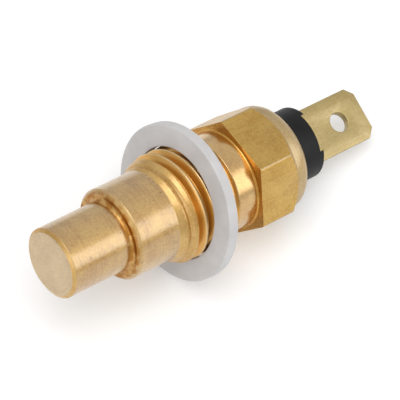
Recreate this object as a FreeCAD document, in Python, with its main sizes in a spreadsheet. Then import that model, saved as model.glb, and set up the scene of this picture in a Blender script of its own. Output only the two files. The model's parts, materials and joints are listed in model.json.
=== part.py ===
# Coolant temperature sensor: a turned brass body with a hexagon and a fine thread, a loose
# plastic sealing washer, a black insulator crimped into the body, and one blade terminal.
# Inside the bore a spring presses a thermistor disc onto the end wall behind the tip.
# Each piece is drawn in the sensor's own frame: Z runs along the axis from the face of the
# tip to the blade, and X is square to one flat of the hexagon. The whole sensor is then laid
# down as it rests on a table, on the washer's rim, the crimped lip and one hexagon corner.
import FreeCAD, Part
import math
import os
import Sketcher

doc = FreeCAD.newDocument("coolant_temperature_sensor")

# Driving dimensions in millimetres and degrees
driving = {
    # outside of the body, from the tip towards the terminal
    "tipDiameter": 9.0,
    "tipLength": 8.85,
    "tipEdgeDepth": 0.3,
    "tipEdgeWidth": 0.45,
    "tipRootFillet": 0.5,
    "pilotDiameter": 11.75,
    "pilotLength": 6.3,
    "pilotChamfer": 0.5,
    "leadLength": 2.15,
    "threadDiameter": 13.96,
    "threadLength": 6.0,
    "reliefDiameter": 11.9,
    "reliefLength": 1.1,
    "collarDiameter": 12.6,
    "collarLength": 2.98,
    "collarFillet": 0.3,
    "acrossFlats": 13.9,
    "cornerDiameter": 15.94,
    "hexLength": 4.97,
    "landRecess": 0.02,
    "landLength": 0.76,
    "lipRounding": 1.7,
    "lipThickness": 1.2,
    # inside of the body
    "tipWall": 1.6,
    "boreDiameter": 6.6,
    "seatDiameter": 11.4,
    "seatOffset": 0.85,
    "fitGap": 0.1,
    # insulator and its seal
    "neckDiameter": 9.4,
    "neckProjection": 4.05,
    "neckRounding": 0.2,
    "recessWidth": 5.1,
    "recessDepth": 0.65,
    "spigotLength": 3.7,
    "sealSection": 1.2,
    # blade terminal
    "bladeWidth": 7.05,
    "bladeThickness": 1.0,
    "bladeProjection": 10.75,
    "bladeCorner": 1.1,
    "bladeHole": 2.6,
    "bladeHoleOffset": 4.17,
    "bladeDepth": 4.85,
    "bladeAngle": -72.3,
    "tangWidth": 3.0,
    "headWidth": 3.6,
    "headLength": 0.5,
    # contact stack in the bore
    "plateThickness": 0.6,
    "sleeveWall": 0.5,
    "wireDiameter": 0.5,
    "springTurns": 12,
    "springGap": 0.2,
    "buttonThickness": 0.8,
    "buttonPin": 1.2,
    "pinGap": 0.2,
    "pelletDiameter": 5.0,
    "pelletThickness": 1.6,
    "discThickness": 0.4,
    # sealing washer, loose on the thread
    "washerDiameter": 20.0,
    "washerClearance": 0.29,
    "washerThickness": 1.4,
    "washerEdge": 0.12,
    "washerStation": 19.93,
    "washerLeanAngle": 6.0,
    "washerAimAngle": 160.6,
}

sizes = doc.addObject("Spreadsheet::Sheet", "sizes")
for row, (alias, number) in enumerate(driving.items(), start=1):
    sizes.set(f"A{row}", alias)
    sizes.set(f"B{row}", str(number))
    sizes.setAlias(f"B{row}", alias)
doc.recompute()

# A fillet takes at most this share of the face beside it
share = 0.9

# Stations along the axis and radii, written as expressions on the sheet
step = "sizes.tipLength"
pilotEnd = f"({step} + sizes.pilotLength)"
threadStart = f"({pilotEnd} + sizes.leadLength)"
threadEnd = f"({threadStart} + sizes.threadLength)"
collarStart = f"({threadEnd} + sizes.reliefLength)"
hexFront = f"({collarStart} + sizes.collarLength)"
cornerEnd = f"({hexFront} + sizes.hexLength)"
sharpRadius = "(sizes.acrossFlats / 2 / cos(30 deg))"
cornerRadius = "(sizes.cornerDiameter / 2)"
landRadius = "(sizes.acrossFlats / 2 - sizes.landRecess)"
lipRadius = "(sizes.neckDiameter / 2 + sizes.fitGap)"
lipRound = f"min(sizes.lipRounding; ({landRadius} - {lipRadius}) * {share})"
hexEnd = f"({cornerEnd} + {cornerRadius} - {landRadius})"
bodyEnd = f"({hexEnd} + sizes.landLength + {lipRound})"
lipInside = f"({bodyEnd} - sizes.lipThickness)"
seatFloor = f"({hexFront} + sizes.seatOffset)"
seatRadius = "(sizes.seatDiameter / 2)"
boreRadius = "(sizes.boreDiameter / 2)"
flangeFront = f"({seatFloor} + sizes.sealSection)"
flangeRadius = f"({seatRadius} - sizes.fitGap)"
spigotEnd = f"({flangeFront} - sizes.spigotLength)"
spigotRadius = f"({boreRadius} - sizes.fitGap)"
neckEnd = f"({bodyEnd} + sizes.neckProjection)"
bladeEnd = f"({neckEnd} + sizes.bladeProjection)"
bladeSeat = f"({neckEnd} - sizes.bladeDepth)"
plateFront = f"({spigotEnd} - sizes.plateThickness)"
sleeveInside = f"({spigotRadius} - sizes.sleeveWall)"
plateRadius = f"({sleeveInside} - sizes.fitGap)"
springRadius = f"({sleeveInside} - sizes.springGap - sizes.wireDiameter / 2)"
discTop = "(sizes.tipWall + sizes.discThickness)"
pelletTop = f"({discTop} + sizes.pelletThickness)"
buttonTop = f"({pelletTop} + sizes.buttonThickness)"
pinRadius = f"({springRadius} - sizes.wireDiameter / 2 - sizes.pinGap)"
holeRadius = "((sizes.threadDiameter + sizes.washerClearance) / 2)"

# Lengths closer than this are the same, in millimetres
nearly = 1e-4
# A cut that comes out at the side reaches this many times as far as the piece
beyond = 1.2


def value(expression):
    """Give the number that an expression on the sheet stands for."""
    return float(sizes.evalExpression(expression))


def plane(body, role):
    """Find one of a body's own origin planes."""
    return next(item for item in body.Origin.OriginFeatures if item.Role == role)


def newBody(name):
    """Start a piece as a body whose label names its file."""
    body = doc.addObject("PartDesign::Body", name)
    body.Label = name
    return body


def newSketch(body, name, role, station="0"):
    """Put a sketch on an origin plane, raised along the plane's normal to a station."""
    sketch = body.newObject("Sketcher::SketchObject", name)
    sketch.AttachmentSupport = [(plane(body, role), "")]
    sketch.MapMode = "FlatFace"
    if station != "0":
        sketch.setExpression("AttachmentOffset.Base.z", station)
    return sketch


def holdPoint(sketch, line, across, along):
    """Hold the start of a line at two distances from the origin, both bound to the sheet."""
    for kind, expression, axis in (("DistanceX", across, -2), ("DistanceY", along, -1)):
        number = value(expression)
        if abs(number) < nearly:
            sketch.addConstraint(Sketcher.Constraint("PointOnObject", line, 1, axis))
            continue
        ends = (-1, 1, line, 1) if number > 0 else (line, 1, -1, 1)
        index = sketch.addConstraint(Sketcher.Constraint(kind, *ends, abs(number)))
        sketch.setExpression(f"Constraints[{index}]", expression if number > 0 else f"-({expression})")


def drawOutline(sketch, points):
    """Draw a closed outline of straight lines through points given as pairs of expressions."""
    corners = [FreeCAD.Vector(value(across), value(along), 0) for across, along in points]
    first = sketch.GeometryCount
    for start, end in zip(corners, corners[1:] + corners[:1]):
        sketch.addGeometry(Part.LineSegment(start, end), False)
    last = sketch.GeometryCount - 1
    for line in range(first, last):
        sketch.addConstraint(Sketcher.Constraint("Coincident", line, 2, line + 1, 1))
    sketch.addConstraint(Sketcher.Constraint("Coincident", last, 2, first, 1))
    for line, (across, along) in enumerate(points, start=first):
        holdPoint(sketch, line, across, along)


def drawCircle(sketch, radius, across="0", along="0"):
    """Draw a circle with its radius and centre bound to the sheet."""
    centre = FreeCAD.Vector(value(across), value(along), 0)
    circle = sketch.addGeometry(Part.Circle(centre, FreeCAD.Vector(0, 0, 1), value(radius)), False)
    index = sketch.addConstraint(Sketcher.Constraint("Radius", circle, value(radius)))
    sketch.setExpression(f"Constraints[{index}]", radius)
    for kind, expression, axis in (("DistanceX", across, -2), ("DistanceY", along, -1)):
        number = value(expression)
        if abs(number) < nearly:
            sketch.addConstraint(Sketcher.Constraint("PointOnObject", circle, 3, axis))
        else:
            index = sketch.addConstraint(Sketcher.Constraint(kind, -1, 1, circle, 3, number))
            sketch.setExpression(f"Constraints[{index}]", expression)


def drawBox(sketch, width, depth):
    """Draw a rectangle centred on the axis."""
    half, side = f"{width} / 2", f"{depth} / 2"
    drawOutline(sketch, [(half, side), (f"-{half}", side), (f"-{half}", f"-{side}"), (half, f"-{side}")])


def turn(body, name, points):
    """Turn a half section, given as (radius, station) expressions, about the sensor's axis."""
    sketch = newSketch(body, f"{name}Section", "XZ_Plane")
    drawOutline(sketch, points)
    feature = body.newObject("PartDesign::Revolution", name)
    feature.Profile = sketch
    feature.ReferenceAxis = (sketch, ["V_Axis"])
    feature.Angle = 360
    doc.recompute()
    return feature


def extrude(body, name, kind, sketch, length):
    """Pad or pocket a sketch along the axis, over a length bound to the sheet."""
    feature = body.newObject(f"PartDesign::{kind}", name)
    feature.Profile = sketch
    feature.setExpression("Length", length)
    feature.Reversed = kind == "Pocket"
    doc.recompute()
    return feature


def circleEdges(shape, radius, station):
    """Name the round edges of a radius that lie at a station on the axis."""
    found = []
    for number, edge in enumerate(shape.Edges, start=1):
        if isinstance(edge.Curve, Part.Circle) and abs(edge.Curve.Radius - radius) < nearly:
            if abs(edge.Curve.Center.z - station) < nearly:
                found.append(f"Edge{number}")
    return found


def fillet(body, name, feature, size, places):
    """Round the circular edges at the given (radius, station) places."""
    edges = []
    for radius, station in places:
        edges += circleEdges(feature.Shape, value(radius), value(station))
    rounding = body.newObject("PartDesign::Fillet", name)
    rounding.Base = (feature, edges)
    rounding.setExpression("Radius", size)
    doc.recompute()
    return rounding


def makeBrassBody():
    """The one-piece turned body: tip, pilot, thread envelope, collar, hexagon and crimped lip."""
    body = newBody("brass_body")
    tipRadius, pilotRadius = "sizes.tipDiameter / 2", "sizes.pilotDiameter / 2"
    threadRadius, reliefRadius = "sizes.threadDiameter / 2", "sizes.reliefDiameter / 2"
    collarRadius = "sizes.collarDiameter / 2"
    stepFace = f"({pilotRadius} - sizes.pilotChamfer - {tipRadius})"
    rootRound = f"min(sizes.tipRootFillet; {stepFace} * {share})"
    turned = turn(body, "turned", [
        ("0", "0"),
        (f"{tipRadius} - sizes.tipEdgeWidth", "0"),
        (tipRadius, "sizes.tipEdgeDepth"),
        (tipRadius, step),
        (f"{pilotRadius} - sizes.pilotChamfer", step),
        (pilotRadius, f"{step} + sizes.pilotChamfer"),
        (pilotRadius, pilotEnd),
        (threadRadius, threadStart),
        (threadRadius, threadEnd),
        (reliefRadius, f"{threadEnd} + ({threadRadius} - {reliefRadius}) / 2"),
        (reliefRadius, f"{collarStart} - ({collarRadius} - {reliefRadius})"),
        (collarRadius, collarStart),
        (collarRadius, hexFront),
        (cornerRadius, hexFront),
        (cornerRadius, cornerEnd),
        (landRadius, hexEnd),
        (landRadius, bodyEnd),
        (lipRadius, bodyEnd),
        (lipRadius, lipInside),
        (seatRadius, lipInside),
        (seatRadius, seatFloor),
        (boreRadius, seatFloor),
        (boreRadius, "sizes.tipWall"),
        ("0", "sizes.tipWall"),
    ])
    rounded = fillet(body, "lipRound", turned, lipRound, [(landRadius, bodyEnd)])
    rounded = fillet(body, "tipRoot", rounded, rootRound, [(tipRadius, step)])
    fillet(body, "collarRoot", rounded, "sizes.collarFillet", [(collarRadius, hexFront)])
    # the flats are cut from the turned corner circle, square to X and every 60 degrees on
    flats = newSketch(body, "flatsSection", "XY_Plane", hexFront)
    half = "sizes.acrossFlats / 2"
    side = "sizes.acrossFlats / 2 * tan(30 deg)"
    drawOutline(flats, [
        (half, side), ("0", sharpRadius), (f"-{half}", side),
        (f"-{half}", f"-{side}"), ("0", f"-{sharpRadius}"), (half, f"-{side}"),
    ])
    drawCircle(flats, f"{cornerRadius} * {beyond}")
    extrude(body, "flats", "Pocket", flats, f"{hexEnd} - {hexFront}")
    return body


def makeSealingWasher():
    """The flat plastic ring that seals between the hexagon and the housing."""
    body = newBody("sealing_washer")
    inner, outer, half = holeRadius, "sizes.washerDiameter / 2", "sizes.washerThickness / 2"
    ring = turn(body, "ring", [
        (inner, f"-{half}"), (outer, f"-{half}"), (outer, half), (inner, half),
    ])
    places = [(radius, station) for radius in (inner, outer) for station in (f"-{half}", half)]
    fillet(body, "edges", ring, "sizes.washerEdge", places)
    return body


def makeInsulator():
    """The black moulded bush: spigot in the bore, flange under the lip, neck around the blade."""
    body = newBody("insulator")
    neckRadius = "sizes.neckDiameter / 2"
    moulded = turn(body, "moulded", [
        ("0", spigotEnd),
        (spigotRadius, spigotEnd),
        (spigotRadius, flangeFront),
        (flangeRadius, flangeFront),
        (flangeRadius, lipInside),
        (neckRadius, lipInside),
        (neckRadius, neckEnd),
        ("0", neckEnd),
    ])
    fillet(body, "neckRound", moulded, "sizes.neckRounding", [(neckRadius, neckEnd)])
    bladeSlot = newSketch(body, "bladeSlotSection", "XY_Plane", bladeSeat)
    bladeSlot.setExpression("AttachmentOffset.Rotation.Angle", "sizes.bladeAngle")
    drawBox(bladeSlot, "sizes.bladeWidth", "sizes.bladeThickness")
    extrude(body, "bladeSlot", "Pocket", bladeSlot, f"{neckEnd} - {bladeSeat}")
    # a shallow recess crosses the rear face, and leaves an ear over each edge of the blade
    recess = newSketch(body, "recessSection", "XY_Plane", f"{neckEnd} - sizes.recessDepth")
    recess.setExpression("AttachmentOffset.Rotation.Angle", "sizes.bladeAngle")
    drawBox(recess, "sizes.recessWidth", f"sizes.neckDiameter * {beyond}")
    extrude(body, "recess", "Pocket", recess, "sizes.recessDepth")
    tangSlot = newSketch(body, "tangSlotSection", "XY_Plane", spigotEnd)
    tangSlot.setExpression("AttachmentOffset.Rotation.Angle", "sizes.bladeAngle")
    drawBox(tangSlot, "sizes.tangWidth", "sizes.bladeThickness")
    extrude(body, "tangSlot", "Pocket", tangSlot, f"{bladeSeat} - {spigotEnd}")
    return body


def makeBladeTerminal():
    """The flat push-on blade, with its tang through the insulator and a staked head."""
    body = newBody("blade_terminal")
    outline = newSketch(body, "bladeOutline", "XZ_Plane", "-sizes.bladeThickness / 2")
    half, tang, head = "sizes.bladeWidth / 2", "sizes.tangWidth / 2", "sizes.headWidth / 2"
    headFront = f"{plateFront} - sizes.headLength"
    right = [
        (head, headFront), (head, plateFront), (tang, plateFront), (tang, bladeSeat), (half, bladeSeat),
        (half, f"{bladeEnd} - sizes.bladeCorner"), (f"{half} - sizes.bladeCorner", bladeEnd),
    ]
    left = [(f"-({across})", along) for across, along in reversed(right)]
    drawOutline(outline, right + left)
    drawCircle(outline, "sizes.bladeHole / 2", "0", f"{bladeEnd} - sizes.bladeHoleOffset")
    extrude(body, "blade", "Pad", outline, "sizes.bladeThickness")
    return body


def makeContactPlate():
    """The slotted disc under the insulator that the staked tang holds, where the spring seats."""
    body = newBody("contact_plate")
    turn(body, "disc", [
        ("0", plateFront), (plateRadius, plateFront), (plateRadius, spigotEnd), ("0", spigotEnd),
    ])
    slot = newSketch(body, "slotSection", "XY_Plane", plateFront)
    slot.setExpression("AttachmentOffset.Rotation.Angle", "sizes.bladeAngle")
    drawBox(slot, "sizes.tangWidth", "sizes.bladeThickness")
    extrude(body, "slot", "Pocket", slot, "sizes.plateThickness")
    return body


def makeSealRing():
    """The rubber ring squeezed between the body's seat and the insulator's flange."""
    ring = doc.addObject("Part::Torus", "seal_ring")
    ring.Label = "seal_ring"
    ring.setExpression("Radius1", f"{flangeRadius} - sizes.sealSection / 2")
    ring.setExpression("Radius2", "sizes.sealSection / 2")
    return ring


def makeSleeve():
    """The insulating tube that keeps the spring and the thermistor off the bore."""
    body = newBody("insulating_sleeve")
    turn(body, "tube", [
        (sleeveInside, "sizes.tipWall"), (spigotRadius, "sizes.tipWall"),
        (spigotRadius, spigotEnd), (sleeveInside, spigotEnd),
    ])
    return body


def makeSpring():
    """The contact spring, wound from round wire, with both ends ground flat."""
    length = f"({plateFront} - {buttonTop})"
    coil = doc.addObject("Part::Helix", "coilPath")
    coil.setExpression("Radius", springRadius)
    coil.setExpression("Height", length)
    coil.setExpression("Pitch", f"{length} / sizes.springTurns")
    wire = doc.addObject("Part::Circle", "wireSection")
    wire.setExpression("Radius", "sizes.wireDiameter / 2")
    wire.Placement = FreeCAD.Placement(FreeCAD.Vector(), FreeCAD.Rotation(FreeCAD.Vector(1, 0, 0), 90))
    wire.setExpression("Placement.Base.x", springRadius)
    wound = doc.addObject("Part::Sweep", "woundWire")
    wound.Sections = [wire]
    wound.Spine = (coil, [])
    wound.Solid = True
    wound.Frenet = True
    ground = doc.addObject("Part::Cylinder", "groundEnds")
    ground.setExpression("Radius", f"{springRadius} + sizes.wireDiameter")
    ground.setExpression("Height", length)
    spring = doc.addObject("Part::Common", "contact_spring")
    spring.Label = "contact_spring"
    spring.Base = wound
    spring.Tool = ground
    doc.recompute()
    return spring


def makeButton():
    """The brass button between the spring and the thermistor, with a pin inside the coils."""
    body = newBody("contact_button")
    turn(body, "button", [
        ("0", pelletTop), (plateRadius, pelletTop), (plateRadius, buttonTop), (pinRadius, buttonTop),
        (pinRadius, f"{buttonTop} + sizes.buttonPin"), ("0", f"{buttonTop} + sizes.buttonPin"),
    ])
    return body


def makeDisc(name, radius, low, high):
    """A plain round disc between two stations."""
    body = newBody(name)
    turn(body, "disc", [("0", low), (radius, low), (radius, high), ("0", high)])
    return body


def restTilt(roll):
    """Work out how far the axis dips towards the blade when washer and lip both touch down."""
    edge = value("sizes.washerEdge")
    rim = value("sizes.washerDiameter / 2") - edge
    half = value("sizes.washerThickness / 2") - edge
    lean, aim = math.radians(value("sizes.washerLeanAngle")), math.radians(value("sizes.washerAimAngle"))
    rounding = value(lipRound)
    ring = value(landRadius) - rounding
    span = value(bodyEnd) - rounding - value("sizes.washerStation")
    tilt = 0.0
    for _ in range(60):
        sideways = math.sin(lean) * math.cos(aim + roll) * math.cos(tilt)
        facing = sideways - math.cos(lean) * math.sin(tilt)
        reach = rim * math.sqrt(1 - facing ** 2) + half * abs(facing) + edge
        tilt = math.asin((reach - ring * math.cos(tilt) - rounding) / span)
    return tilt


def cornerGap(roll):
    """Give the height of the hexagon's lowest corner when the sensor is rolled from its flat."""
    tilt = restTilt(roll)
    rounding = value(lipRound)
    ring = value(landRadius) - rounding
    fromFlat = math.acos(value("sizes.acrossFlats / 2") / value(cornerRadius))
    lip = ring * math.cos(tilt) + rounding + (value(bodyEnd) - rounding) * math.sin(tilt)
    corner = value(cornerRadius) * math.cos(fromFlat - roll) * math.cos(tilt)
    return lip - corner - value(cornerEnd) * math.sin(tilt)


def restRoll():
    """Find the roll at which a corner of the hexagon touches down and stops the rolling."""
    low, high = 0.0, math.radians(30)
    for _ in range(40):
        middle = (low + high) / 2
        if cornerGap(middle) > 0:
            low = middle
        else:
            high = middle
    return low


def alongAxis(station):
    """Move a piece along the sensor's axis to a station."""
    return FreeCAD.Placement(FreeCAD.Vector(0, 0, value(station)), FreeCAD.Rotation())


def washerPlace():
    """Centre the loose washer on the thread, leaning as it does against the flanks."""
    turned = math.radians(value("sizes.washerAimAngle"))
    hinge = FreeCAD.Vector(-math.sin(turned), math.cos(turned), 0)
    lean = FreeCAD.Placement(FreeCAD.Vector(), FreeCAD.Rotation(hinge, value("sizes.washerLeanAngle")))
    return alongAxis("sizes.washerStation").multiply(lean)


def layDown(placed):
    """Lay the sensor on the table, and centre its footprint on the origin."""
    roll = restRoll()
    tilt = restTilt(roll)
    dipped = FreeCAD.Placement(FreeCAD.Matrix(
        math.sin(tilt), 0, math.cos(tilt), 0,
        0, -1, 0, 0,
        math.cos(tilt), 0, -math.sin(tilt), 0,
        0, 0, 0, 1,
    ))
    rolled = FreeCAD.Rotation(FreeCAD.Vector(0, 0, 1), math.degrees(roll))
    rest = dipped.multiply(FreeCAD.Placement(FreeCAD.Vector(), rolled))
    reach = FreeCAD.BoundBox()
    for piece, own in placed:
        piece.Placement = rest.multiply(own)
        reach.add(piece.Shape.optimalBoundingBox(False, False))
    rest.Base = FreeCAD.Vector(-reach.Center.x, -reach.Center.y, -reach.ZMin)
    for piece, own in placed:
        piece.Placement = rest.multiply(own)
    return math.degrees(tilt), math.degrees(roll)


upright = FreeCAD.Placement()
placed = [
    (makeBrassBody(), upright),
    (makeSealingWasher(), washerPlace()),
    (makeInsulator(), upright),
    (makeBladeTerminal(), FreeCAD.Placement(
        FreeCAD.Vector(), FreeCAD.Rotation(FreeCAD.Vector(0, 0, 1), value("sizes.bladeAngle")))),
    (makeContactPlate(), upright),
    (makeSealRing(), alongAxis(f"{seatFloor} + sizes.sealSection / 2")),
    (makeSleeve(), upright),
    (makeSpring(), alongAxis(buttonTop)),
    (makeButton(), upright),
    (makeDisc("thermistor_disc", "sizes.pelletDiameter / 2", discTop, pelletTop), upright),
    (makeDisc("contact_disc", "sizes.pelletDiameter / 2", "sizes.tipWall", discTop), upright),
]
doc.recompute()
dip, turned = layDown(placed)
print(f"axis dips {dip:.2f} degrees towards the blade, rolled {turned:.2f} degrees from a flat")
doc.recompute()

for item in doc.Objects:
    if "Invalid" in item.State or "Error" in item.State:
        raise RuntimeError(f"{item.Label} did not build")
for piece, own in placed:
    shape = piece.Shape
    if shape.isNull() or not shape.isValid() or len(shape.Solids) != 1:
        raise RuntimeError(f"{piece.Label} is not one valid solid")

os.makedirs("parts", exist_ok=True)
for piece, own in placed:
    piece.Shape.exportStep(f"parts/{piece.Label}.step")
    print(f"{piece.Label}: {piece.Shape.Volume:.1f} mm3")
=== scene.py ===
import json
import math

import bmesh
import bpy
from mathutils import Matrix, Vector


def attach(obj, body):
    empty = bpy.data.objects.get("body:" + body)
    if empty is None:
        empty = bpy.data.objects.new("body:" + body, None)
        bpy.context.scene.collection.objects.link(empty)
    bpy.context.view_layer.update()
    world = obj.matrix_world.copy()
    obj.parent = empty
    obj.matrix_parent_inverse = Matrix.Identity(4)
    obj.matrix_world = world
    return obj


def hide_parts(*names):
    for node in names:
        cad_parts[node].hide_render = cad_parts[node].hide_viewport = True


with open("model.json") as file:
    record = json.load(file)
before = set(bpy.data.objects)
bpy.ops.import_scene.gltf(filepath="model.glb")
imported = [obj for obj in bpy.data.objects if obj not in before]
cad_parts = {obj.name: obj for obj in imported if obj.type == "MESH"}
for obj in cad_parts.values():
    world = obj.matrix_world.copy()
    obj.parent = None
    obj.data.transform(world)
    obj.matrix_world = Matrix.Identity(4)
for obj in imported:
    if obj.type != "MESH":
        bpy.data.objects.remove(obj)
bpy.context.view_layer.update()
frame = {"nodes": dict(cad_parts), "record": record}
scene = bpy.context.scene
millimetre = 0.001
origin = (0, 0, 0)
print("frame loaded")

# The sensor's own frame, in millimetres: Z runs from the face of the tip to the blade,
# and X is square to one flat of the hexagon. The record's pin on the tip says where it lies.
lie = {
    "tipEdgeDepth": 0.3,        # from the face of the tip to the start of the pin
    "rollAngle": 6.38,          # from resting on a flat to resting on a corner
}
tipPin = next(mount for mount in frame["record"]["mounts"] if mount["name"] == "probe_tip")
axis = -Vector(tipPin["axis"])
pinReach = tipPin["dims"]["length_mm"] / 2 + lie["tipEdgeDepth"]
tipFace = Vector(tipPin["pos_m"]) - axis * pinReach * millimetre
sideways = Vector((0, -1, 0))
upwards = sideways.cross(axis)
roll = Matrix.Rotation(math.radians(lie["rollAngle"]), 3, "Z")
turned = Matrix((upwards, sideways, axis)).transposed() @ roll
place = Matrix.Translation(tipFace) @ turned.to_4x4() @ Matrix.Scale(millimetre, 4)


class Wire:
    # A shader output that takes part in sums, which add the Math nodes they need
    def __init__(self, sheet, socket):
        self.sheet = sheet
        self.socket = socket

    def maths(self, operation, *terms):
        return self.sheet.node("ShaderNodeMath", {"operation": operation}, dict(enumerate(terms)))

    def __add__(self, other):
        return self.maths("ADD", self, other)

    def __radd__(self, other):
        return self.maths("ADD", other, self)

    def __sub__(self, other):
        return self.maths("SUBTRACT", self, other)

    def __rsub__(self, other):
        return self.maths("SUBTRACT", other, self)

    def __mul__(self, other):
        return self.maths("MULTIPLY", self, other)

    def __rmul__(self, other):
        return self.maths("MULTIPLY", other, self)

    def __pow__(self, other):
        return self.maths("POWER", self, other)

    def within(self, low, high):
        # 0 below low, 1 above high, smooth between
        return self.sheet.node("ShaderNodeMapRange", {"interpolation_type": "SMOOTHSTEP"},
                               {"Value": self, "From Min": low, "From Max": high})


class Sheet:
    # The node tree of one material or of the world
    def __init__(self, owner):
        owner.use_nodes = True
        self.owner = owner
        self.tree = owner.node_tree
        self.tree.nodes.clear()

    def node(self, kind, settings=None, inputs=None, output=0):
        made = self.tree.nodes.new(kind)
        for name, setting in (settings or {}).items():
            setattr(made, name, setting)
        for name, value in (inputs or {}).items():
            if isinstance(value, Wire):
                self.tree.links.new(value.socket, made.inputs[name])
            else:
                made.inputs[name].default_value = value
        return Wire(self, made.outputs[output]) if made.outputs else made

    def mixColour(self, factor, first, second):
        # Inputs 6 and 7 of the Mix node are its two colours, and its output 2 is their mix
        ends = [term if isinstance(term, Wire) else (*term, 1) for term in (first, second)]
        inputs = {0: factor, 6: ends[0], 7: ends[1]}
        return self.node("ShaderNodeMix", {"data_type": "RGBA"}, inputs, output=2)

    def sides(self, vector):
        return [self.node("ShaderNodeSeparateXYZ", None, {0: vector}, output=side) for side in range(3)]

    def seenBy(self):
        kinds = ("Is Camera Ray", "Is Glossy Ray", "Is Transmission Ray")
        return [self.node("ShaderNodeLightPath", output=kind) for kind in kinds]

    def ownPlace(self):
        # Object coordinates turned into the sensor's own frame, in millimetres
        back = place.inverted()
        raw = self.node("ShaderNodeTexCoord", output="Object")
        return self.node("ShaderNodeMapping", {"vector_type": "POINT"}, {
            "Vector": raw, "Location": back.translation, "Scale": back.to_scale(),
            "Rotation": back.to_quaternion().to_euler()})

    def noise(self, vector, scale, detail=2.0, roughness=0.5):
        return self.node("ShaderNodeTexNoise", {"noise_dimensions": "3D"}, {
            "Vector": vector, "Scale": scale, "Detail": detail, "Roughness": roughness})

    def bump(self, height, depth):
        return self.node("ShaderNodeBump", None, {"Height": height, "Distance": depth, "Strength": 1.0})

    def finish(self, shader, kind="ShaderNodeOutputMaterial"):
        self.node(kind, None, {"Surface": shader})
        return self.owner


def newSheet(name):
    return Sheet(bpy.data.materials.new(name))


marks = {
    "around": 0.07,             # how slowly turning marks change around the axis
    "facing": 0.8,              # and how quickly across an end face
    "along": 0.05,              # how slowly drawing marks change along the axis
    "grainScale": 3.4, "cloudScale": 0.35, "cloudLow": 0.3, "cloudHigh": 0.7,
    "patchScale": 0.7, "patchLow": 0.5, "patchHigh": 0.58,      # where the pits lie
    "pitScale": 1.6, "pitCore": 0.07, "pitEdge": 0.17,
    "pitColour": (0.2, 0.09, 0.025), "pitRoughness": 0.3,
    # The root's ring is painted shade of the crease at the tip's root, partly a real stain
    "rootLow": 7.9, "rootHigh": 8.9, "rootEdge": 0.4, "rootShadeAndStainColour": (0.36, 0.15, 0.025),
    "tornScale": 0.9, "tornLow": 0.38, "tornHigh": 0.56,        # how the root's ring breaks up
    # The thread's valley colour is painted shade, and its pale crests a painted highlight
    "valleyLow": 6.83, "valleyHigh": 6.97,      # radii between which the thread turns pale
}
# How much each pattern deepens the brass's colour, and how much it shapes its surface
tones = {"cloud": 0.6, "coarse": 0.9, "fine": 1.0, "grain": 2.2, "lift": 0.1}
bumps = {"fine": 0.7, "coarse": 0.8, "grain": 1.1, "pits": 2}
middle = 0.5                    # a noise's mean value


def axisDistance(sheet, own):
    across, aside = sheet.sides(own)[:2]
    return (across * across + aside * aside) ** 0.5


def turningMarks(sheet, own):
    # A place that changes quickly along the axis and across end faces, and slowly around them
    across, aside, along = sheet.sides(own)
    facing = axisDistance(sheet, own) * marks["facing"]
    return sheet.node("ShaderNodeCombineXYZ", None, {
        0: across * marks["around"], 1: aside * marks["around"], 2: along + facing})


def drawingMarks(sheet, own):
    # The same for marks that run along the axis
    across, aside, along = sheet.sides(own)
    return sheet.node("ShaderNodeCombineXYZ", None, {0: across, 1: aside, 2: along * marks["along"]})


def scatterPits(sheet, own):
    # Small round pits, in patches
    spots = sheet.node("ShaderNodeTexVoronoi", {"feature": "F1"}, {"Vector": own, "Scale": marks["pitScale"]})
    patches = sheet.noise(own, marks["patchScale"], detail=1).within(marks["patchLow"], marks["patchHigh"])
    return (1 - spots.within(marks["pitCore"], marks["pitEdge"])) * patches


def rootShadeAndStain(sheet, own):
    # The darker, torn ring at the root of the tip: painted shade of the crease there, broken up like a real
    # stain
    along = sheet.sides(own)[2]
    low, high, edge = marks["rootLow"], marks["rootHigh"], marks["rootEdge"]
    ring = along.within(low, low + edge) * (1 - along.within(high, high + edge))
    torn = sheet.noise(own, marks["tornScale"], detail=3)
    return ring * torn.within(marks["tornLow"], marks["tornHigh"])


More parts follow.
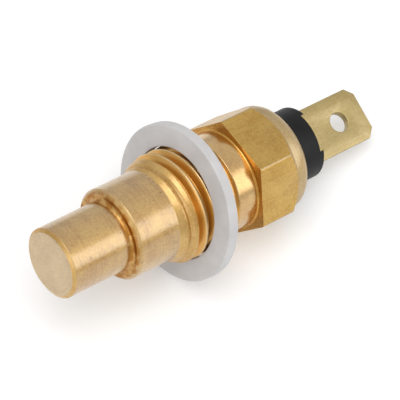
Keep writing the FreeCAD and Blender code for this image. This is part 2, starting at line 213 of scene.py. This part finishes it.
usualBrass = {"drawn": False, "shadeAndStain": 0, "valleyShade": None}       # where a finish doesn't say otherwise
brassLooks = {
    "turnedBrass": {
        "base": (0.52, 0.31, 0.052), "deep": (0.37, 0.178, 0.01), "roughness": 0.47, "vary": 0.14,
        "fine": 5.0, "coarse": 1.4, "depth": 0.000005, "pits": 0.9, "film": 1.0, "shadeAndStain": 0.85},
    "facedBrass": {
        "base": (0.53, 0.365, 0.14), "deep": (0.41, 0.25, 0.07), "roughness": 0.47, "vary": 0.1,
        "fine": 4.0, "coarse": 1.2, "depth": 0.000002, "pits": 0.6, "film": 1.0},
    # rootBrass: the fillet and step face at the tip's root, more orange under a thinner film: painted shade
    # of the crease
    "rootBrass": {
        "base": (0.56, 0.33, 0.09), "deep": (0.44, 0.21, 0.035), "roughness": 0.36, "vary": 0.1,
        "fine": 5.0, "coarse": 1.4, "depth": 0.000003, "pits": 0.9, "film": 0.3, "shadeAndStain": 0.9},
    "coneBrass": {
        "base": (0.57, 0.355, 0.1), "deep": (0.45, 0.235, 0.035), "roughness": 0.42, "vary": 0.12,
        "fine": 5.0, "coarse": 1.4, "depth": 0.000003, "pits": 0.6, "film": 0.4},
    # threadBrass: its pale base is a painted highlight on the crests, and its valley colour a painted shade
    # in the grooves
    "threadBrass": {
        "base": (0.72, 0.52, 0.27), "deep": (0.64, 0.43, 0.18), "roughness": 0.29, "vary": 0.08,
        "fine": 5.0, "coarse": 1.2, "depth": 0.000001, "pits": 0.5, "film": 0.3,
        "valleyShade": (0.6, 0.315, 0.06)},
    "polishedBrass": {
        "base": (0.58, 0.355, 0.095), "deep": (0.46, 0.235, 0.04), "roughness": 0.24, "vary": 0.06,
        "fine": 4.0, "coarse": 0.7, "depth": 0.000001, "pits": 0.2, "film": 0.75},
    # frontBrass: the collar's fillet and the hexagon's front face, more orange under a thin film: painted
    # shade of the corner behind the washer
    "frontBrass": {
        "base": (0.58, 0.31, 0.06), "deep": (0.46, 0.21, 0.025), "roughness": 0.27, "vary": 0.06,
        "fine": 4.0, "coarse": 0.9, "depth": 0.000001, "pits": 0.3, "film": 0.15},
    "drawnBrass": {
        "base": (0.555, 0.345, 0.078), "deep": (0.43, 0.235, 0.035), "roughness": 0.36, "vary": 0.08,
        "fine": 4.0, "coarse": 0.9, "depth": 0.0000025, "pits": 0.25, "film": 0.25, "drawn": True},
    "lipBrass": {
        "base": (0.47, 0.335, 0.145), "deep": (0.39, 0.255, 0.085), "roughness": 0.52, "vary": 0.06,
        "fine": 4.0, "coarse": 1.2, "depth": 0.000001, "pits": 0.2, "film": 0.5},
    "bladeBrass": {
        "base": (0.45, 0.34, 0.135), "deep": (0.36, 0.26, 0.085), "roughness": 0.42, "vary": 0.08,
        "fine": 3.0, "coarse": 0.5, "depth": 0.000001, "pits": 0.2, "film": 0.35, "drawn": True},
}
film = {"roughness": 0.2, "index": 2.15}     # the thin dull film over the brass


def makeBrass(name):
    look = {**usualBrass, **brassLooks[name]}
    sheet = newSheet(name)
    own = sheet.ownPlace()
    worked = drawingMarks(sheet, own) if look["drawn"] else turningMarks(sheet, own)
    fine = sheet.noise(worked, look["fine"], detail=3, roughness=0.6)
    coarse = sheet.noise(worked, look["coarse"])
    grain = sheet.noise(own, marks["grainScale"], detail=3, roughness=0.6)
    cloud = sheet.noise(own, marks["cloudScale"], detail=4, roughness=0.6)
    pits = scatterPits(sheet, own) * look["pits"]
    tone = (cloud.within(marks["cloudLow"], marks["cloudHigh"]) * tones["cloud"]
            + (coarse - middle) * tones["coarse"] + (fine - middle) * tones["fine"]
            + (grain - middle) * tones["grain"] + tones["lift"])
    colour = sheet.mixColour(tone, look["base"], look["deep"])
    # Painted shade in the thread's grooves and painted highlight on its crests
    if look["valleyShade"]:
        crestHighlight = axisDistance(sheet, own).within(marks["valleyLow"], marks["valleyHigh"])
        colour = sheet.mixColour(crestHighlight, look["valleyShade"], colour)
    pitsAndRootShade = pits
    # Darkens the ring at the tip's root with painted shade, partly a real stain, and thins the film there
    if look["shadeAndStain"]:
        shadeAndStain = rootShadeAndStain(sheet, own) * look["shadeAndStain"]
        colour = sheet.mixColour(shadeAndStain, colour, marks["rootShadeAndStainColour"])
        pitsAndRootShade = pits.maths("MAXIMUM", pits, shadeAndStain)
    height = (fine * bumps["fine"] + coarse * bumps["coarse"] + grain * bumps["grain"]
              - pits * bumps["pits"])
    roughness = (fine + cloud - 1) * look["vary"] + look["roughness"] + pits * marks["pitRoughness"]
    return sheet.finish(sheet.node("ShaderNodeBsdfPrincipled", None, {
        "Base Color": sheet.mixColour(pits, colour, marks["pitColour"]), "Metallic": 1.0,
        "Roughness": roughness, "Normal": sheet.bump(height, look["depth"]),
        "Coat Weight": (1 - pitsAndRootShade) * look["film"], "Coat Roughness": film["roughness"],
        "Coat IOR": film["index"]}))


plasticMarks = {"cloudScale": 0.3, "cloudLow": 0.35, "cloudHigh": 0.65, "vary": 0.15}
plasticLooks = {
    "washerPlastic": {"base": (0.605, 0.593, 0.59), "deep": (0.55, 0.537, 0.533), "roughness": 0.42,
                      "grain": 2.5, "depth": 0.000002, "specular": 0.4},
    "insulatorPlastic": {"base": (0.003, 0.003, 0.0035), "deep": (0.007, 0.007, 0.008), "roughness": 0.5,
                         "grain": 4.0, "depth": 0.000003, "specular": 0.22},
    "sealRubber": {"base": (0.02, 0.02, 0.02), "deep": (0.035, 0.035, 0.035), "roughness": 0.6,
                   "grain": 5.0, "depth": 0.000003, "specular": 0.4},
    "sleevePlastic": {"base": (0.76, 0.75, 0.7), "deep": (0.66, 0.65, 0.6), "roughness": 0.5,
                      "grain": 2.0, "depth": 0.000002, "specular": 0.4},
    "thermistorCeramic": {"base": (0.12, 0.11, 0.105), "deep": (0.07, 0.065, 0.06), "roughness": 0.65,
                          "grain": 6.0, "depth": 0.000004, "specular": 0.3},
}


def makePlastic(name):
    look = plasticLooks[name]
    sheet = newSheet(name)
    own = sheet.ownPlace()
    grain = sheet.noise(own, look["grain"], detail=4, roughness=0.6)
    cloud = sheet.noise(own, plasticMarks["cloudScale"], detail=3)
    patches = cloud.within(plasticMarks["cloudLow"], plasticMarks["cloudHigh"])
    return sheet.finish(sheet.node("ShaderNodeBsdfPrincipled", None, {
        "Base Color": sheet.mixColour(patches, look["base"], look["deep"]),
        "Roughness": (grain - middle) * plasticMarks["vary"] + look["roughness"],
        "Normal": sheet.bump(grain + cloud, look["depth"]),
        "Specular IOR Level": look["specular"]}))


steelLook = {
    "base": (0.5, 0.5, 0.5), "bright": (0.62, 0.62, 0.63), "scale": 5.0,
    "roughness": 0.22, "vary": 0.15,
}


def makeSteel():
    sheet = newSheet("springSteel")
    drawn = sheet.noise(sheet.ownPlace(), steelLook["scale"], detail=3)
    return sheet.finish(sheet.node("ShaderNodeBsdfPrincipled", None, {
        "Base Color": sheet.mixColour(drawn, steelLook["base"], steelLook["bright"]), "Metallic": 1.0,
        "Roughness": drawn * steelLook["vary"] + steelLook["roughness"]}))


looks = {name: makeBrass(name) for name in brassLooks}
looks.update({name: makePlastic(name) for name in plasticLooks})
looks["springSteel"] = makeSteel()
print("materials made")


making = {
    "turns": 192,               # steps around the axis
    "arcSteps": 5,              # steps of a rounded corner
    "holdGap": 0.04,            # rings beside each rounding keep the shading of straight runs
    "shortRun": 5,              # a run of this many gaps or less has no such rings
    "sharpAngle": 32,           # sharper edges stay sharp, except on the thread
    "mergeGap": 0.0001,         # points nearer than this are one
}


def closeRing(bm, verts):
    for pair in zip(verts, verts[1:] + verts[:1]):
        bm.edges.new(pair)


def joinOutline(corners):
    # A closed half section; each corner is (radius, station, reach of its rounding)
    bm = bmesh.new()
    verts = [bm.verts.new((radius, 0, station)) for radius, station, reach in corners]
    closeRing(bm, verts)
    for reach in sorted({corner[2] for corner in corners if corner[2]}):
        rounded = [vert for vert, corner in zip(verts, corners) if corner[2] == reach]
        bmesh.ops.bevel(bm, geom=rounded, offset=reach, offset_type="OFFSET", affect="VERTICES",
                        segments=making["arcSteps"], profile=0.5, material=-1)
    gap = making["holdGap"]
    for edge in [edge for edge in bm.edges if edge.calc_length() > making["shortRun"] * gap]:
        end = edge.verts[1]
        near = bmesh.utils.edge_split(edge, edge.verts[0], gap / edge.calc_length())[1]
        rest = next(link for link in near.link_edges if end in link.verts)
        bmesh.utils.edge_split(rest, end, gap / rest.calc_length())
    axisEdges = [edge for edge in bm.edges if all(abs(vert.co.x) < making["mergeGap"] for vert in edge.verts)]
    bmesh.ops.delete(bm, geom=axisEdges, context="EDGES_FACES")
    return bm


def turnOutline(bm):
    bmesh.ops.spin(bm, geom=bm.verts[:] + bm.edges[:], cent=origin, axis=(0, 0, 1), dvec=origin,
                   angle=math.tau, steps=making["turns"], use_merge=True, use_duplicate=False)
    bmesh.ops.remove_doubles(bm, verts=bm.verts, dist=making["mergeGap"])
    bmesh.ops.recalc_face_normals(bm, faces=bm.faces)


def toObject(bm, name):
    mesh = bpy.data.meshes.new(name)
    bm.to_mesh(mesh)
    bm.free()
    made = bpy.data.objects.new(name, mesh)
    scene.collection.objects.link(made)
    return made


def makePiece(bm, name, materials, node, smoothZone=None):
    for edge in bm.edges:
        soft = smoothZone is not None and all(face.material_index == smoothZone for face in edge.link_faces)
        edge.smooth = soft or edge.calc_face_angle(0) < math.radians(making["sharpAngle"])
    for face in bm.faces:
        face.smooth = True
    bm.transform(place)
    piece = toObject(bm, name)
    for material in materials:
        piece.data.materials.append(looks[material])
    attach(piece, "root")
    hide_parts(node)
    print(name, "made,", sum(len(face.vertices) - 2 for face in piece.data.polygons), "triangles")
    return piece


body = {
    "tipRadius": 4.5, "tipLength": 8.85, "tipEdgeDepth": lie["tipEdgeDepth"], "tipEdgeWidth": 0.45,
    "tipRootFillet": 0.5, "pilotRadius": 5.875, "pilotEnd": 15.15, "pilotChamfer": 0.5,
    "threadRadius": 6.98, "threadStart": 17.3, "threadEnd": 23.3, "threadRoot": 6.06,
    "pitch": 1.5, "crestWidth": 0.19, "crestStation": 16.79, "flankAngle": 30,
    "ringGap": 0.0375,          # between the rings that the helix is drawn into
    "reliefRadius": 5.95, "collarRadius": 6.3, "collarStart": 24.4, "collarFillet": 0.3,
    "hexFront": 27.38, "cornerEnd": 32.35, "cornerRadius": 7.97, "flats": 6, "acrossFlats": 13.9,
    "landRadius": 6.93, "bodyEnd": 35.85, "lipRounding": 1.7, "lipThickness": 1.2,
    "neckRadius": 4.8, "seatRadius": 5.7, "seatFloor": 28.23, "boreRadius": 3.3, "tipWall": 1.6,
    "edge": 0.06,               # reach of the rounding on its turned edges
    "faceTilt": 0.95,           # how square to the axis the tip's faced end is
    "finishes": ["turnedBrass", "facedBrass", "rootBrass", "coneBrass", "threadBrass", "polishedBrass",
                 "frontBrass", "drawnBrass", "lipBrass"],
}


def cutThread(bm):
    # Draws each point of the thread's blank in to the flanks and root of a helix
    for vert in bm.verts:
        radius = math.hypot(vert.co.x, vert.co.y)
        if radius < body["reliefRadius"] or not body["pilotEnd"] < vert.co.z < body["collarStart"]:
            continue
        around = math.atan2(vert.co.y, vert.co.x) / math.tau
        turns = (vert.co.z - body["crestStation"]) / body["pitch"] - around
        across = abs(turns - round(turns)) * body["pitch"] - body["crestWidth"] / 2
        depth = max(0, across) / math.tan(math.radians(body["flankAngle"]))
        limit = max(body["threadRadius"] - depth, body["threadRoot"])
        if radius > limit:
            vert.co.xy *= limit / radius


def cutFlats(bm):
    # Cuts the six flats from the corner circle, and closes each
    half = body["acrossFlats"] / 2
    front = body["hexFront"] - making["mergeGap"]
    for side in range(body["flats"]):
        turn = Matrix.Rotation(math.radians(360 / body["flats"] * side), 3, "Z")
        outward = turn @ Vector((1, 0, 0))
        faces = [face for face in bm.faces if face.calc_center_median().z > front]
        around = {item for face in faces for item in (*face.verts, *face.edges)}
        bmesh.ops.bisect_plane(bm, geom=[*faces, *around], dist=making["mergeGap"], plane_co=outward * half,
                               plane_no=outward, clear_outer=True, use_snap_center=False)
        rim = [edge for edge in bm.edges if edge.is_boundary]
        for face in bmesh.ops.holes_fill(bm, edges=rim, sides=0)["faces"]:
            face.material_index = body["finishes"].index("drawnBrass")
    bmesh.ops.recalc_face_normals(bm, faces=bm.faces)


def bodyOutline():
    # The body's half section, from the face of the tip round to the end of the bore
    edge, lip = body["edge"], body["bodyEnd"] - body["lipThickness"]
    step, chamfer = body["tipLength"], body["pilotChamfer"]
    chamferEnd = body["cornerEnd"] + body["cornerRadius"] - body["landRadius"]
    threadDrop = (body["threadRadius"] - body["reliefRadius"]) / 2
    bm = joinOutline([
        (0, 0, 0),
        (body["tipRadius"] - body["tipEdgeWidth"], 0, edge),
        (body["tipRadius"], body["tipEdgeDepth"], edge),
        (body["tipRadius"], step, body["tipRootFillet"]),
        (body["pilotRadius"] - chamfer, step, edge),
        (body["pilotRadius"], step + chamfer, edge),
        (body["pilotRadius"], body["pilotEnd"], edge),
        (body["threadRadius"], body["threadStart"], 0),
        (body["threadRadius"], body["threadEnd"], 0),
        (body["reliefRadius"], body["threadEnd"] + threadDrop, edge),
        (body["reliefRadius"], body["collarStart"] - body["collarRadius"] + body["reliefRadius"], edge),
        (body["collarRadius"], body["collarStart"], edge),
        (body["collarRadius"], body["hexFront"], body["collarFillet"]),
        (body["cornerRadius"], body["hexFront"], edge),
        (body["cornerRadius"], body["cornerEnd"], edge),
        (body["landRadius"], chamferEnd, edge),
        (body["landRadius"], body["bodyEnd"], body["lipRounding"]),
        (body["neckRadius"], body["bodyEnd"], edge),
        (body["neckRadius"], lip, 0),
        (body["seatRadius"], lip, 0),
        (body["seatRadius"], body["seatFloor"], 0),
        (body["boreRadius"], body["seatFloor"], edge),
        (body["boreRadius"], body["tipWall"], 0),
        (0, body["tipWall"], 0),
    ])
    # The thread's blank gets close rings, for its helix
    for run in [run for run in bm.edges if run.calc_length() > body["ringGap"] * 2]:
        centre = (run.verts[0].co + run.verts[1].co) / 2
        if centre.x > body["reliefRadius"] and body["pilotEnd"] < centre.z < body["collarStart"] - threadDrop:
            bmesh.ops.subdivide_edges(bm, edges=[run], cuts=int(run.calc_length() / body["ringGap"]))
    return bm


def finishBody(bm):
    # Each finish reaches from the one before it to its own station; rootBrass and frontBrass carry painted
    # shade, and threadBrass carries painted shade and painted highlight
    step, edge = body["tipLength"], body["edge"]
    zones = [
        (body["tipEdgeDepth"], "coneBrass"),
        (step - body["tipRootFillet"], "turnedBrass"),
        (step + edge, "rootBrass"),
        (body["pilotEnd"], "turnedBrass"),
        (body["threadStart"], "coneBrass"),
        (body["collarStart"] - edge, "threadBrass"),
        (body["hexFront"] - body["collarFillet"], "polishedBrass"),
        (body["hexFront"] + edge, "frontBrass"),
        (math.inf, "lipBrass"),
    ]
    for face in bm.faces:
        station = face.calc_center_median().z
        finish = next(name for end, name in zones if station < end)
        if station < body["tipEdgeDepth"] and face.normal.z < -body["faceTilt"]:
            finish = "facedBrass"
        face.material_index = body["finishes"].index(finish)


def makeBody():
    bm = bodyOutline()
    turnOutline(bm)
    finishBody(bm)
    cutThread(bm)
    cutFlats(bm)
    smoothZone = body["finishes"].index("threadBrass")
    makePiece(bm, "brassBody", body["finishes"], "brass_body", smoothZone)


makeBody()

washer = {
    "outerRadius": 10.0, "holeRadius": 7.125, "thickness": 1.4, "edge": 0.16,
    "station": 19.93, "leanAngle": 6.0, "aimAngle": 160.6,
}


def makeWasher():
    half = washer["thickness"] / 2
    radii = (washer["holeRadius"], washer["outerRadius"])
    corners = [(radii[0], -half), (radii[1], -half), (radii[1], half), (radii[0], half)]
    bm = joinOutline([(radius, station, washer["edge"]) for radius, station in corners])
    turnOutline(bm)
    hinge = Matrix.Rotation(math.radians(washer["aimAngle"]), 3, "Z") @ Vector((0, 1, 0))
    lean = Matrix.Rotation(math.radians(washer["leanAngle"]), 4, hinge)
    bm.transform(Matrix.Translation((0, 0, washer["station"])) @ lean)
    makePiece(bm, "sealingWasher", ["washerPlastic"], "sealing_washer")


makeWasher()

blade = {
    "width": 7.05, "thickness": 1.0, "corner": 1.1, "end": 50.65, "seat": 35.05, "angle": -72.3,
    "holeRadius": 1.3, "holeStation": 46.48, "holeSteps": 48,
    "edge": 0.1, "edgeSteps": 3, "rimAngle": 60,        # rims sharper than this are rounded
    "tangWidth": 3.0, "headWidth": 3.6, "plateFront": 25.13, "headFront": 24.63,
}
bladeTurn = Matrix.Rotation(math.radians(blade["angle"]), 4, "Z")


def makeBlade():
    half, tang, head = blade["width"] / 2, blade["tangWidth"] / 2, blade["headWidth"] / 2
    right = [
        (head, blade["headFront"]), (head, blade["plateFront"]), (tang, blade["plateFront"]),
        (tang, blade["seat"]), (half, blade["seat"]), (half, blade["end"] - blade["corner"]),
        (half - blade["corner"], blade["end"]),
    ]
    outline = right + [(-across, station) for across, station in reversed(right)]
    bm = bmesh.new()
    closeRing(bm, [bm.verts.new((across, -blade["thickness"] / 2, station)) for across, station in outline])
    low = Matrix.Translation((0, -blade["thickness"] / 2, blade["holeStation"]))
    bmesh.ops.create_circle(bm, cap_ends=False, segments=blade["holeSteps"], radius=blade["holeRadius"],
                            matrix=low @ Matrix.Rotation(math.pi / 2, 4, "X"))
    bmesh.ops.triangle_fill(bm, use_beauty=True, use_dissolve=False, edges=bm.edges[:])
    raised = bmesh.ops.extrude_face_region(bm, geom=bm.faces[:])["geom"]
    lifted = [item for item in raised if isinstance(item, bmesh.types.BMVert)]
    bmesh.ops.translate(bm, verts=lifted, vec=(0, blade["thickness"], 0))
    bmesh.ops.recalc_face_normals(bm, faces=bm.faces)
    rims = [edge for edge in bm.edges if edge.calc_face_angle(0) > math.radians(blade["rimAngle"])
            and abs(edge.verts[0].co.y - edge.verts[1].co.y) < making["mergeGap"]]
    bmesh.ops.bevel(bm, geom=rims, offset=blade["edge"], offset_type="OFFSET", affect="EDGES",
                    segments=blade["edgeSteps"], profile=0.5, material=-1)
    bm.transform(bladeTurn)
    makePiece(bm, "bladeTerminal", ["bladeBrass"], "blade_terminal")


makeBlade()

bush = {
    "spigotRadius": 3.2, "spigotEnd": 25.73, "flangeRadius": 5.6, "flangeFront": 29.43, "flangeEnd": 34.65,
    "neckRadius": 4.7, "neckEnd": 39.9, "neckRounding": 0.2, "recessWidth": 5.1, "recessDepth": 0.65,
    "edge": 0.1,
    "overrun": 2.0,             # how far a cutter runs past the ends of the bush
    "cutReach": 3,              # how many neck radii the recess's cutter is across
}


def cutBox(width, depth, low, high):
    # A box on the axis that cuts a slot in the bush
    bm = bmesh.new()
    size = Matrix.Diagonal((width, depth, high - low, 1))
    bmesh.ops.create_cube(bm, size=1, matrix=bladeTurn @ Matrix.Translation((0, 0, (low + high) / 2)) @ size)
    bm.transform(place)
    return toObject(bm, "cutter")


def makeBush():
    edge = bush["edge"]
    bm = joinOutline([
        (0, bush["spigotEnd"], 0),
        (bush["spigotRadius"], bush["spigotEnd"], edge),
        (bush["spigotRadius"], bush["flangeFront"], 0),
        (bush["flangeRadius"], bush["flangeFront"], edge),
        (bush["flangeRadius"], bush["flangeEnd"], edge),
        (bush["neckRadius"], bush["flangeEnd"], 0),
        (bush["neckRadius"], bush["neckEnd"], bush["neckRounding"]),
        (0, bush["neckEnd"], 0),
    ])
    turnOutline(bm)
    past, recessReach = bush["neckEnd"] + bush["overrun"], bush["neckRadius"] * bush["cutReach"]
    piece = makePiece(bm, "insulatorBush", ["insulatorPlastic"], "insulator")
    cutters = [
        cutBox(blade["width"], blade["thickness"], blade["seat"], past),
        cutBox(bush["recessWidth"], recessReach, bush["neckEnd"] - bush["recessDepth"], past),
        cutBox(blade["tangWidth"], blade["thickness"], bush["spigotEnd"] - bush["overrun"], blade["seat"]),
    ]
    for cutter in cutters:
        cut = piece.modifiers.new("cut", "BOOLEAN")
        cut.operation = "DIFFERENCE"
        cut.solver = "EXACT"
        cut.object = cutter
    shaped = piece.evaluated_get(bpy.context.evaluated_depsgraph_get())
    mesh = bpy.data.meshes.new_from_object(shaped)
    piece.modifiers.clear()
    piece.data = mesh
    for cutter in cutters:
        bpy.data.objects.remove(cutter)
    print("insulatorBush cut,", len(mesh.polygons), "faces")


makeBush()

# The pieces inside keep their solids' shapes
inside = {
    "contact_plate": "bladeBrass", "contact_button": "turnedBrass", "contact_disc": "bladeBrass",
    "seal_ring": "sealRubber", "insulating_sleeve": "sleevePlastic",
    "contact_spring": "springSteel", "thermistor_disc": "thermistorCeramic",
}
for node, look in inside.items():
    mesh = frame["nodes"][node].data
    mesh.materials.clear()
    mesh.materials.append(looks[look])
print("inner pieces dressed")

room = {
    "floorRadius": 0.12, "floorSides": 128, "floorColour": (0.865, 0.87, 0.875),
    "floorGlow": 0.22,          # what the camera and mirrored rays see added to the floor
    "ambient": 0.6,             # light from all around
    "lowMirror": 0.6, "midMirror": 0.85, "topMirror": 0.9,
    "horizon": (-0.02, 0.2),    # heights between which the mirrored sky goes from low to mid
    "zenith": (0.4, 0.9),       # and from mid to top
}


def makeFloor():
    bm = bmesh.new()
    bmesh.ops.create_circle(bm, cap_ends=True, segments=room["floorSides"], radius=room["floorRadius"])
    floor = toObject(bm, "paleFloor")
    sheet = newSheet("paleFloor")
    path = sheet.seenBy()
    seen = path[0] + path[1] + path[2]
    matt = sheet.node("ShaderNodeBsdfDiffuse", None, {"Color": (*room["floorColour"], 1)})
    glow = sheet.node("ShaderNodeEmission", None, {"Strength": seen * room["floorGlow"]})
    floor.data.materials.append(sheet.finish(sheet.node("ShaderNodeAddShader", None, {0: matt, 1: glow})))


def makeWorld():
    world = bpy.data.worlds.new("studio")
    scene.world = world
    sheet = Sheet(world)
    direction = sheet.node("ShaderNodeTexCoord", output="Generated")
    height = sheet.sides(direction)[2]
    low, mid, top = room["lowMirror"], room["midMirror"], room["topMirror"]
    rise, crown = height.within(*room["horizon"]), height.within(*room["zenith"])
    mirror = rise * (mid - low) + crown * (top - mid) + low
    path = sheet.seenBy()
    shiny = path[1] + path[2]
    level = mirror * shiny + room["ambient"] * (1 - shiny)
    level = path[0] + level * (1 - path[0])
    sky = sheet.node("ShaderNodeBackground", None, {"Color": (1, 1, 1, 1), "Strength": level})
    sheet.finish(sky, "ShaderNodeOutputWorld")


lamps = {
    "softBox": {"azimuth": -45, "elevation": 24, "distance": 0.35, "size": (0.3, 0.2), "radiance": 1.55},
    "overhead": {"azimuth": -150, "elevation": 76, "distance": 0.5, "size": (0.4, 0.4), "radiance": 2.2},
    "front": {"azimuth": 195, "elevation": 14, "distance": 0.4, "size": (0.3, 0.15), "radiance": 1.4},
}


def pointAt(azimuth, elevation, distance, roll=0):
    # A matrix at a distance from the origin, looking back at it along its own -Z
    level, rise = math.radians(azimuth), math.radians(elevation)
    back = Vector((math.cos(rise) * math.cos(level), math.cos(rise) * math.sin(level), math.sin(rise)))
    right = Vector((-math.sin(level), math.cos(level), 0))
    upright = Matrix((right, back.cross(right), back)).transposed()
    looking = upright @ Matrix.Rotation(math.radians(roll), 3, "Z")
    return Matrix.Translation(back * distance) @ looking.to_4x4()


def standAt(name, data, matrix):
    holder = bpy.data.objects.new(name, data)
    holder.matrix_world = matrix
    scene.collection.objects.link(holder)
    return holder


def makeLamps():
    for name, lamp in lamps.items():
        light = bpy.data.lights.new(name, "AREA")
        light.shape = "RECTANGLE"
        light.size, light.size_y = lamp["size"]
        light.energy = lamp["radiance"] * math.pi * light.size * light.size_y
        standAt(name, light, pointAt(lamp["azimuth"], lamp["elevation"], lamp["distance"]))


view = {
    "aim": (-0.000564, 0.000929, 0.004983), "azimuth": -133.44, "elevation": 55.87, "roll": 5.64,
    "distance": 0.37, "lens": 270, "sensor": 36, "clipStart": 0.01,
}


def makeCamera():
    camera = bpy.data.cameras.new("camera")
    camera.lens = view["lens"]
    camera.sensor_width = view["sensor"]
    camera.clip_start = view["clipStart"]
    looking = pointAt(view["azimuth"], view["elevation"], view["distance"], view["roll"])
    scene.camera = standAt("camera", camera, Matrix.Translation(view["aim"]) @ looking)


makeFloor()
makeWorld()
makeLamps()
makeCamera()
scene.view_settings.view_transform = "Standard"
print("room, lamps and camera made")
